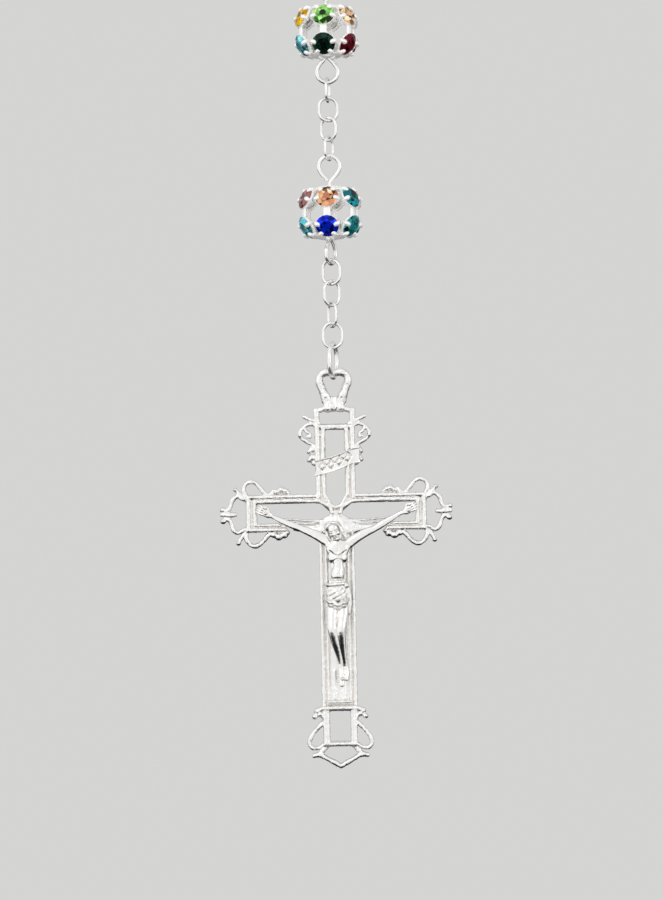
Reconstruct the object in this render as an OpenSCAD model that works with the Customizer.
// Five-decade rosary hanging in a loop over a round rail.
// Origin: middle of the rail's axis. +Z up, the crucifix faces -Y, the rail runs along X.
// The loop's two strands rise in front of the rail, pass over it and hang down behind it.

/* [Crucifix] */
// Half of the width across the arms, tip to tip
cross_half_w = 15; // [13:0.5:17]
// Thickness of the cast frame bars, front to back
frame_t = 1.6; // [1.2:0.1:2]
// Thickness of the cast scroll work
scroll_t = 1.1; // [0.8:0.1:1.2]
// Width of one scroll wire
scroll_w = 0.62; // [0.5:0.02:0.8]
// Outer diameter of the jump ring that carries the crucifix
ring_d = 5; // [4.6:0.1:5.4]
// Wire diameter of the jump ring
ring_wire = 0.6; // [0.5:0.05:0.7]

/* [Chain] */
// Outer width of an oval chain link
link_w = 2.86; // [2.7:0.02:3]
// Wire diameter of a chain link
link_wire = 0.4; // [0.35:0.01:0.42]
// Distance between the contact points of a chain link
link_step = 2.52; // [2.4:0.02:2.8]
// The same distance on the four longer links above the crucifix
long_link_step = 2.75; // [2.6:0.05:3]
// Play left between two pieces that hang in each other
contact_gap = 0.06; // [0.04:0.01:0.08]

/* [Beads] */
// Distance between the contact points of a bead pin's two eyes
pin_step = 13.45; // [13.2:0.05:13.8]
// Wire diameter of an eye
eye_wire = 0.55; // [0.5:0.01:0.58]
// Outer width of an eye
eye_w = 3.3; // [3.1:0.05:3.4]
// Diameter of the straight wire inside a bead
stem_d = 0.5; // [0.4:0.02:0.52]
// Outer radius of a bead's cage
cage_r = 3.75; // [3.6:0.05:3.8]
// Half of the height of a bead's cage, over its rims
cage_half_h = 3.5; // [3.4:0.02:3.52]
// How far a bead slides down its pin from the middle
bead_drop = 0.43; // [0.3:0.01:0.44]
// Girdle radius of a rhinestone
stone_r = 1.28; // [1.1:0.02:1.3]

/* [Loop] */
// Distance of each strand from the middle plane
strand_x = 7; // [6.5:0.5:9]
// Distance between the centre medal's lower and upper contact points
medal_step = 18; // [17:0.5:20]
// Radius of the centre medal's disc
medal_r = 6.8; // [6:0.1:7]

/* [Hidden] */
$fn = 48;

// The radius on which the contact points lie over the rail, so that two beads and six links
// turn the strand by half a turn.
function chord_angle(length, radius) = 2 * asin(length / 2 / radius);
function rail_turn(radius) = 2 * chord_angle(pin_step, radius) + 6 * chord_angle(link_step, radius);
function solve_radius(low, high, rounds) =
    let (mid = (low + high) / 2)
    rounds == 0 ? mid
    : rail_turn(mid) > 180 ? solve_radius(mid, high, rounds - 1)
    : solve_radius(low, mid, rounds - 1);
drape_r = solve_radius(10, 20, 30);
link_angle = chord_angle(link_step, drape_r);
pin_angle = chord_angle(pin_step, drape_r);

// A strand's straight stretch in front of the rail: ten beads, an Our Father bead and ten link
// steps more than one link between neighbours.
decade_beads = 10;
front_h = 4 * link_step + decade_beads * pin_step + 2 * (decade_beads - 1) * link_step
    + 4 * link_step + pin_step + 2 * link_step;

// The tail, from the crucifix up. Heights are taken from the crossing of the arms.
bail_contact = 17.85;
ring_r = (ring_d - ring_wire) / 2;
ring_step = ring_d - 2 * ring_wire;
gap_links = [4, 4, 2, 2, 4, 4];
gap_steps = [long_link_step, link_step, link_step, link_step, link_step, link_step];
tail_beads = len(gap_links) - 1;
function sum_to(values, last) = last < 0 ? 0 : values[last] + sum_to(values, last - 1);
gap_heights = [for (g = [0:tail_beads]) gap_links[g] * gap_steps[g]];
function gap_base(g) = bail_contact + ring_step + sum_to(gap_heights, g - 1) + g * pin_step;
function pin_base(n) = gap_base(n) - pin_step;
medal_base = gap_base(tail_beads) + gap_heights[tail_beads];
crossing_z = -(medal_base + medal_step + front_h);

// Which way each tail link faces, in degrees about the vertical: 0 shows its full outline.
link_yaws = [[0, -66, 38, -25], [66, -40, 10, 80], [55, -40], [30, -50], [50, -35, 55, -15],
             [30, -40, 20, 90]];
ring_yaw = 77;
lower_eye_yaws = [63, 0, 90, 40, 90];
upper_eye_yaws = [0, -55, -70, -25, -45];

// The ball: two rows of stones, one column turned stone_azimuth degrees from the front. Seats and
// windows are drilled from hole_from outwards, and stones stand from girdle_at to table_at.
stones_around = 6;
stone_latitude = 28;
stone_azimuth = -10;
seat_clearance = 0.02;
window_r = 0.75;
cage_inner_r = 3.1;
hole_from = 2.75;
rim_r = 1.55;
rim_lip = 0.15;
pole_hole_r = 0.4;
girdle_at = 3.4;
table_at = 4.03;
table_r = 0.75;

tail_groups = ["cage", "stones", "pin"];
loop_bodies = ["drape", "front_upper", "front_lower", "rear_upper", "rear_lower"];
loop_groups = ["cages", "stones", "wires"];

// ---- Wire pieces, each upright with its middle at the origin, flat in the XZ plane ----

module wire_ring(centre_r, wire_d) {
    rotate([90, 0, 0]) rotate_extrude() translate([centre_r, 0]) circle(d = wire_d);
}

module half_ring(centre_r, wire_d) {
    rotate([90, 0, 0]) rotate_extrude(angle = 180) translate([centre_r, 0]) circle(d = wire_d);
}

module oval_link(step) {
    centre_r = (link_w - link_wire) / 2;
    straight = step + contact_gap - 2 * (centre_r - link_wire / 2);
    for (turn = [0, 180]) rotate([0, turn, 0]) {
        translate([0, 0, straight / 2]) half_ring(centre_r, link_wire);
        translate([centre_r, 0, -straight / 2]) cylinder(h = straight, d = link_wire);
    }
}

module eye_pin(lower_yaw, upper_yaw) {
    eye_r = (eye_w - eye_wire) / 2;
    eye_z = (pin_step + contact_gap) / 2 - eye_r + eye_wire / 2;
    stem_h = 2 * (eye_z - eye_r);
    translate([0, 0, -stem_h / 2]) cylinder(h = stem_h, d = stem_d);
    translate([0, 0, eye_z]) rotate([0, 0, upper_yaw]) wire_ring(eye_r, eye_wire);
    translate([0, 0, -eye_z]) rotate([0, 0, lower_yaw]) wire_ring(eye_r, eye_wire);
}

// ---- Rhinestone ball ----

module at_stones() {
    for (column = [0:stones_around - 1]) for (row = [-1, 1])
        rotate([0, 0, stone_azimuth - 90 + column * 360 / stones_around])
            rotate([0, 90 - row * stone_latitude, 0]) children();
}

module cage_shell() {
    rotate_extrude() difference() {
        union() {
            intersection() {
                circle(r = cage_r);
                square([2 * cage_r, 2 * (cage_half_h - rim_lip)], center = true);
            }
            square([2 * rim_r, 2 * cage_half_h], center = true);
        }
        circle(r = cage_inner_r);
        translate([-cage_r, -cage_r]) square([cage_r + pole_hole_r, 2 * cage_r]);
    }
}

module cage() {
    difference() {
        cage_shell();
        at_stones() translate([0, 0, hole_from]) cylinder(h = cage_r, r = stone_r + seat_clearance);
        for (column = [0:stones_around - 1])
            rotate([0, 0, stone_azimuth - 90 + (column + 0.5) * 360 / stones_around])
                rotate([0, 90, 0]) translate([0, 0, hole_from]) cylinder(h = cage_r, r = window_r);
    }
}

module stones() {
    at_stones() translate([0, 0, girdle_at])
        cylinder(h = table_at - girdle_at, r1 = stone_r, r2 = table_r);
}

// ---- Crucifix, drawn in the XZ plane around the crossing of its arms ----

function unit(v) = v / norm(v);
function side_at(points, i) =
    let (t = unit(points[min(i + 1, len(points) - 1)] - points[max(i - 1, 0)])) [-t[1], t[0]];
function ribbon(points, w) = concat(
    [for (i = [0:len(points) - 1]) points[i] + side_at(points, i) * w / 2],
    [for (i = [len(points) - 1:-1:0]) points[i] - side_at(points, i) * w / 2]);

module plate(t) {
    rotate([90, 0, 0]) linear_extrude(t, center = true) children();
}

module stroke(points, w, t) {
    plate(t) polygon(ribbon(points, w));
}

module bar(u_low, v_low, u_high, v_high, t) {
    translate([u_low, -t / 2, v_low]) cube([u_high - u_low, t, v_high - v_low]);
}

module both_sides() {
    children();
    mirror([1, 0, 0]) children();
}

post_out = 2.6;
post_in = 1.2;
panel_half_w = 2.45;
arm_end = 11.65;
bail_t = 0.9;

// Outline of half the bail loop, from its top middle round to its foot.
bail_half = [[-0.2, 18.2], [1.1, 18.22], [1.8, 17.75], [1.95, 17.0], [1.6, 16.0], [0.9, 14.9],
             [0.55, 13.3]];
crown_half = [[-0.2, 13.5], [1.2, 13.4], [2.2, 13.05], [2.25, 11.1]];
top_scroll = [[2.2, 11.6], [3.2, 11.4], [4.1, 11.0], [4.5, 10.3], [4.1, 9.6], [3.0, 8.9],
              [2.3, 8.6]];
side_leaf = [[2.4, 8.7], [3.1, 7.9], [2.6, 7.2], [3.1, 6.8], [2.4, 6.2]];
arm_tip = [[11.4, 2.2], [12.0, 1.9], [12.85, 2.3], [13.6, 1.6], [13.9, 0.7],
           [cross_half_w - 0.25, 0], [13.9, -0.7], [13.6, -1.6], [12.8, -2.4], [12, -1.9],
           [11.4, -2.2]];
arm_top_scroll = [[11.3, 1.8], [11.9, 3.3], [11.0, 4.1], [9.9, 3.4], [9.1, 2.6], [8.4, 3.1],
                  [7.4, 2.9], [6.4, 2.2]];
arm_low_scroll = [[11.4, -1.9], [11.8, -3.1], [10.9, -4.1], [9.6, -3.6], [8.7, -2.7],
                  [7.6, -2.9], [6.5, -2.2]];
arm_spike = [[11.2, 0], [cross_half_w - 0.4, 0]];
foot_scroll = [[1.8, -26.9], [2.9, -28.2], [3.95, -29.4], [4.0, -30.3], [3.3, -30.65],
               [2.0, -30.1], [1.5, -29.9]];
foot_leaf = [[2.0, -25.2], [3.1, -25.8], [3.0, -26.6], [1.9, -27.2]];
foot_point = [[3.1, -30.6], [2.5, -31.45], [1.2, -31.95], [-0.1, -32.75]];

module post() {
    both_sides() {
        bar(post_in, 0.3, post_out, 11.5, frame_t);
        stroke([[2.4, 1.9], [0, -0.3]], 1.3, frame_t);
    }
    bar(-post_out, 10.7, post_out, 11.6, frame_t);
    bar(-panel_half_w, -25.6, panel_half_w, 0, frame_t);
}

module foot_frame() {
    both_sides() bar(1.45, -30.4, 2.1, -25.5, frame_t);
    bar(-2.1, -30.4, 2.1, -29.7, frame_t);
}

module arm() {
    bar(0.5, 1.2, arm_end, 2.4, frame_t);
    bar(6.45, -2.45, arm_end, -1.35, frame_t);
    bar(10.3, -2.0, arm_end, 2.0, frame_t);
    bar(1.0, -1.1, 3.4, -0.4, frame_t);
    for (points = [arm_tip, arm_top_scroll, arm_low_scroll, arm_spike])
        stroke(points, scroll_w, scroll_t);
}

module crucifix_frame() {
    color("gainsboro") {
        post();
        foot_frame();
        both_sides() {
            arm();
            for (points = [crown_half, top_scroll, side_leaf, foot_scroll, foot_leaf, foot_point])
                stroke(points, scroll_w, scroll_t);
            stroke(bail_half, 0.48, bail_t);
        }
    }
}

// The figure is a relief, cut off flat where it lies on the frame. Its masses are chains of
// [across, forward of the frame's face, up, radius].
hand = [9.3, 0.2, 0.1, 0.62];
trunk_chain = [[-0.2, 0.4, -3.2, 0.8], [0, 0.4, -5.2, 1.35], [-0.1, 0.3, -7.6, 0.85],
               [0, 0.4, -10.0, 1.5], [-0.1, 0.5, -13.0, 1.1], [0.2, 0.5, -19.5, 0.6],
               [0.4, 0.3, -22.2, 0.5]];
arm_chain = [[1.1, 0.3, -4.5, 0.75], [4.5, 0.2, -2.6, 0.5], [8.2, 0.2, -0.7, 0.38], hand];
head = [-0.3, 0.7, -2.45, 1.4];
foot_rivet = [0.4, 0, -21.6];
rivet_r = 0.28;
rivet_h = 1.0;
rivet_clearance = 0.01;

function on_face(mass) = [mass[0], -frame_t / 2 - mass[1], mass[2]];

module limb(from, to) {
    span = on_face(to) - on_face(from);
    tilt = acos(span[2] / norm(span));
    heading = atan2(span[1], span[0]);
    translate(on_face(from)) rotate([0, tilt, heading])
        cylinder(h = norm(span), r1 = from[3], r2 = to[3]);
    translate(on_face(to)) sphere(r = to[3]);
}

module limbs(chain) {
    for (i = [1:len(chain) - 1]) limb(chain[i - 1], chain[i]);
}

module figure() {
    translate(on_face(head)) sphere(r = head[3]);
    limbs(trunk_chain);
    both_sides() limbs(arm_chain);
}

module rivets(r) {
    for (spot = [[-hand[0], 0, hand[2]], [hand[0], 0, hand[2]], foot_rivet])
        translate(on_face(spot)) rotate([90, 0, 0]) cylinder(h = rivet_h, r = r);
}

module corpus() {
    reach = 40;
    color("gainsboro") difference() {
        intersection() {
            figure();
            translate([-reach / 2, -reach - frame_t / 2, -reach]) cube([reach, reach, 2 * reach]);
        }
        rivets(rivet_r);
    }
}

module corpus_rivets() {
    color("silver") rivets(rivet_r - rivet_clearance);
}

title_points = [[-2.9, 5.7], [-2.1, 6.1], [-1.0, 6.3], [0.3, 6.5], [1.6, 7.2], [2.9, 7.5]];
title_w = 2.0;
title_t = 0.6;

module title_scroll() {
    color("gainsboro") translate([0, -(frame_t + title_t) / 2, 0])
        stroke(title_points, title_w, title_t);
}

// ---- The tail ----

module at_tail(height) {
    translate([0, -drape_r, crossing_z + height]) children();
}

module crucifix_ring() {
    color("silver") at_tail(bail_contact + ring_step / 2) rotate([0, 0, ring_yaw])
        wire_ring(ring_r, ring_wire);
}

module tail_link(g, n) {
    color("silver") at_tail(gap_base(g) + (n - 0.5) * gap_steps[g])
        rotate([0, 0, link_yaws[g][n - 1]]) oval_link(gap_steps[g]);
}

module tail_bead(n, kind) {
    at_tail(pin_base(n) + pin_step / 2) {
        if (kind == "pin") color("silver") eye_pin(lower_eye_yaws[n - 1], upper_eye_yaws[n - 1]);
        translate([0, 0, -bead_drop]) {
            if (kind == "cage") color("gainsboro") cage();
            if (kind == "stones") color("royalblue") stones();
        }
    }
}

// ---- Centre medal: a round medal with a plain cross, two ears and a lower loop ----

ear_wire = 0.7;
ear_r = 1.35;
disc_t = 1.2;
disc_rim_t = 2.0;
disc_rim_w = 0.9;
medal_cross_t = 1.9;
ear_arm_w = 1.3;
ear_arm_t = 1.1;

module medal_disc() {
    rotate([90, 0, 0]) {
        cylinder(h = disc_t, r = medal_r, center = true);
        difference() {
            cylinder(h = disc_rim_t, r = medal_r, center = true);
            cylinder(h = 2 * disc_rim_t, r = medal_r - disc_rim_w, center = true);
        }
    }
    bar(-0.6, -4.5, 0.6, 4.5, medal_cross_t);
    bar(-3.2, 0.6, 3.2, 1.8, medal_cross_t);
}

module centre_medal() {
    disc_z = medal_step / 2;
    ear_to_contact = ear_r - ear_wire / 2 - contact_gap / 2;
    ear_z = medal_step - ear_to_contact;
    color("gainsboro") at_tail(medal_base) {
        translate([0, 0, disc_z]) medal_disc();
        translate([0, 0, ear_to_contact]) wire_ring(ear_r, ear_wire);
        both_sides() {
            translate([strand_x, 0, ear_z]) wire_ring(ear_r, ear_wire);
            stroke([[medal_r / 2, disc_z + 4.6], [strand_x - 0.8, ear_z - 1.1]], ear_arm_w,
                   ear_arm_t);
        }
    }
}

// ---- The loop: the same pieces along each strand ----

// How many links follow each bead, counted up from the medal, and the links before the first.
lead_links = 4;
links_after = concat([for (i = [1:decade_beads - 1]) 2], [4], [4],
                     [for (i = [1:decade_beads - 1]) 2], [4], [4], [for (i = [1:4]) 2], [1]);
strand_beads = len(links_after);
drape_first = 12;
drape_last = 13;
rear_split = 19;
front_split = 6;

function bead_base(i) = (lead_links + sum_to(links_after, i - 2)) * link_step + (i - 1) * pin_step;
drape_start = front_h;
drape_end = front_h + 2 * pin_step + 6 * link_step;

// Puts a piece at its middle, s along the strand, with its own length as a chord over the rail.
module at_strand(s, length) {
    if (s < drape_start)
        translate([0, -drape_r, s - front_h]) children();
    else if (s < drape_end)
        rotate([-over_rail_angle(s), 0, 0])
            translate([0, -sqrt(pow(drape_r, 2) - pow(length / 2, 2)), 0]) children();
    else
        rotate([-180, 0, 0]) translate([0, -drape_r, s - drape_end]) children();
}

// Over the rail each piece turns the strand by its own chord angle.
function over_rail_angle(s) =
    let (
        run = s - drape_start,
        unit_run = 2 * link_step + pin_step,
        unit_angle = 2 * link_angle + pin_angle,
        whole = floor(run / unit_run),
        rest = run - whole * unit_run
    )
    whole * unit_angle + (rest < 2 * link_step
        ? rest / link_step * link_angle
        : 2 * link_angle + (rest - 2 * link_step) / pin_step * pin_angle);

// Which body of the loop a bead, or the links that follow it, belongs to.
function bead_body(i) =
    i < front_split ? "front_lower"
    : i < drape_first ? "front_upper"
    : i <= drape_last ? "drape"
    : i < rear_split ? "rear_upper"
    : "rear_lower";
function link_body(i, n) =
    i == front_split - 1 ? "front_upper"
    : i == drape_first - 1 && n > 2 ? "drape"
    : bead_body(max(i, 1));

// The last bead of each strand leans in, and one link on each side closes the loop. The links
// lie a little inside their contact points, because the strand bends there.
last_base = bead_base(strand_beads);
closing_tilt = 70;
closing_slack = [-0.03, 0, -0.05];
lean = asin((strand_x - link_step * sin(closing_tilt)) / pin_step);

module at_last_bead() {
    at_strand(last_base, 0) rotate([0, -lean, 0]) children();
}

module at_closing_link() {
    at_strand(last_base, 0)
        translate([-pin_step * sin(lean), 0, pin_step * cos(lean)] + closing_slack)
            rotate([0, -closing_tilt, 0]) children();
}

module bead_parts(kind, slide, spin, lower_yaw, upper_yaw) {
    if (kind == "wires") eye_pin(lower_yaw, upper_yaw);
    translate([0, 0, slide * bead_drop]) rotate([0, 0, spin]) {
        if (kind == "cages") cage();
        if (kind == "stones") stones();
    }
}

module strand(body, kind, closing_yaw) {
    golden_angle = 137.5;
    if (kind == "wires") for (i = [0:strand_beads - 1])
        for (n = [1:i == 0 ? lead_links : links_after[i - 1]]) if (link_body(i, n) == body) {
            start = i == 0 ? 0 : bead_base(i) + pin_step;
            at_strand(start + (n - 0.5) * link_step, link_step)
                rotate([0, 0, n % 2 == 1 ? 90 : 0]) oval_link(link_step);
        }
    for (i = [1:strand_beads - 1]) if (bead_body(i) == body)
        at_strand(bead_base(i) + pin_step / 2, pin_step)
            bead_parts(kind, i < drape_last ? -1 : 1, i * golden_angle, 90, 0);
    if (body == "rear_lower") {
        at_last_bead() translate([0, 0, pin_step / 2])
            bead_parts(kind, 1, strand_beads * golden_angle, 90, 90 - closing_yaw);
        if (kind == "wires") at_closing_link() translate([0, 0, link_step / 2])
            rotate([0, 0, closing_yaw]) oval_link(link_step);
    }
}

module loop_node(body, kind) {
    color(kind == "stones" ? "royalblue" : kind == "cages" ? "gainsboro" : "silver") {
        translate([strand_x, 0, 0]) strand(body, kind, 0);
        mirror([1, 0, 0]) translate([strand_x, 0, 0]) strand(body, kind, 90);
    }
}

at_tail(0) crucifix_frame();
at_tail(0) corpus();
at_tail(0) title_scroll();
at_tail(0) corpus_rivets();
crucifix_ring();
centre_medal();
for (g = [0:tail_beads]) for (n = [1:gap_links[g]])
    tail_link(g, n);
for (n = [1:tail_beads]) for (kind = tail_groups)
    tail_bead(n, kind);
for (body = loop_bodies) for (kind = loop_groups)
    loop_node(body, kind);
